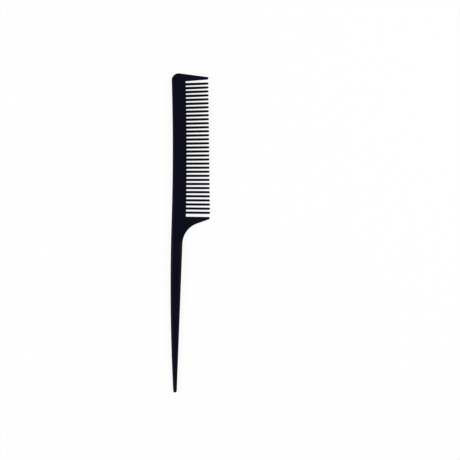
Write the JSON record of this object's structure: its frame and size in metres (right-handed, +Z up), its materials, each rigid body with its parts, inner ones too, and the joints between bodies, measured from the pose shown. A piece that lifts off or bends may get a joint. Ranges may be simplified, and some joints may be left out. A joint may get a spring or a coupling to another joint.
{
  "type": "rat tail comb",
  "caption": "Slim moulded tail comb: fine tooth row between end guards, scooped finger rest at the heel, and a long tapered tail for parting hair.",
  "frame": {"origin": "centre of the comb's bounding box, on the flat underside that it lies on", "axes": "+Y along the comb from the tail to the head end, +X the way the teeth point, +Z up through the thickness"},
  "size_m": [0.0286, 0.2246, 0.0036],
  "materials": {
    "comb_plastic": "fine satin moulded finish, near-black navy"
  },
  "bodies": {
    "root": {"spine": "comb_plastic", "head_guard": "comb_plastic", "heel_guard": "comb_plastic", "neck": "comb_plastic", "tail": "comb_plastic", "tail_tip": "comb_plastic", "tooth_01": "comb_plastic", "tooth_02": "comb_plastic", "tooth_03": "comb_plastic", "tooth_04": "comb_plastic", "tooth_05": "comb_plastic", "tooth_06": "comb_plastic", "tooth_07": "comb_plastic", "tooth_08": "comb_plastic", "tooth_09": "comb_plastic", "tooth_10": "comb_plastic", "tooth_11": "comb_plastic", "tooth_12": "comb_plastic", "tooth_13": "comb_plastic", "tooth_14": "comb_plastic", "tooth_15": "comb_plastic", "tooth_16": "comb_plastic", "tooth_17": "comb_plastic", "tooth_18": "comb_plastic", "tooth_19": "comb_plastic", "tooth_20": "comb_plastic", "tooth_21": "comb_plastic", "tooth_22": "comb_plastic", "tooth_23": "comb_plastic", "tooth_24": "comb_plastic", "tooth_25": "comb_plastic", "tooth_26": "comb_plastic", "tooth_27": "comb_plastic", "tooth_28": "comb_plastic", "tooth_29": "comb_plastic", "tooth_30": "comb_plastic", "tooth_31": "comb_plastic", "tooth_32": "comb_plastic", "tooth_33": "comb_plastic"}
  },
  "joints": []
}
